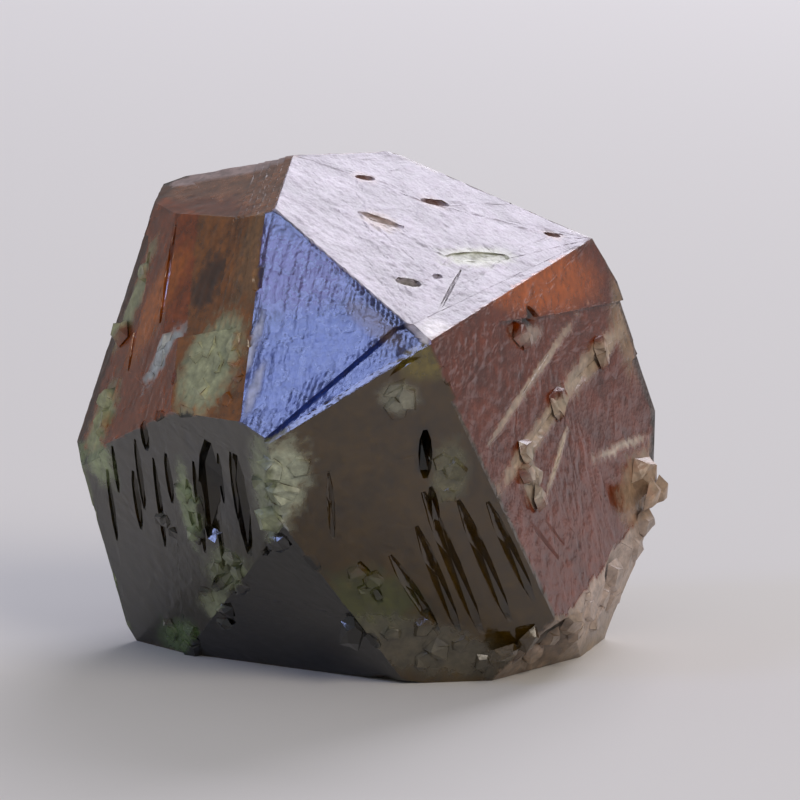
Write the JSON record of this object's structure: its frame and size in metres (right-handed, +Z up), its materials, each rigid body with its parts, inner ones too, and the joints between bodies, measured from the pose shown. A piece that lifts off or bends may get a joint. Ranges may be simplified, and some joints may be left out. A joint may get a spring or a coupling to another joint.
{
  "type": "grossular garnet crystal",
  "caption": "Loose brown garnet crystal with rhomb-shaped faces, etched growth layers and crusted edges, resting on a flat base.",
  "frame": {"origin": "middle of the bounding box's floor, on the flat base", "axes": "+X to the right across the widest extent, +Y to the back, +Z up from the base"},
  "size_m": [0.0204, 0.0178, 0.017],
  "materials": {
    "garnet": "gloss"
  },
  "bodies": {
    "root": {"garnet_crystal": "garnet"}
  },
  "joints": []
}
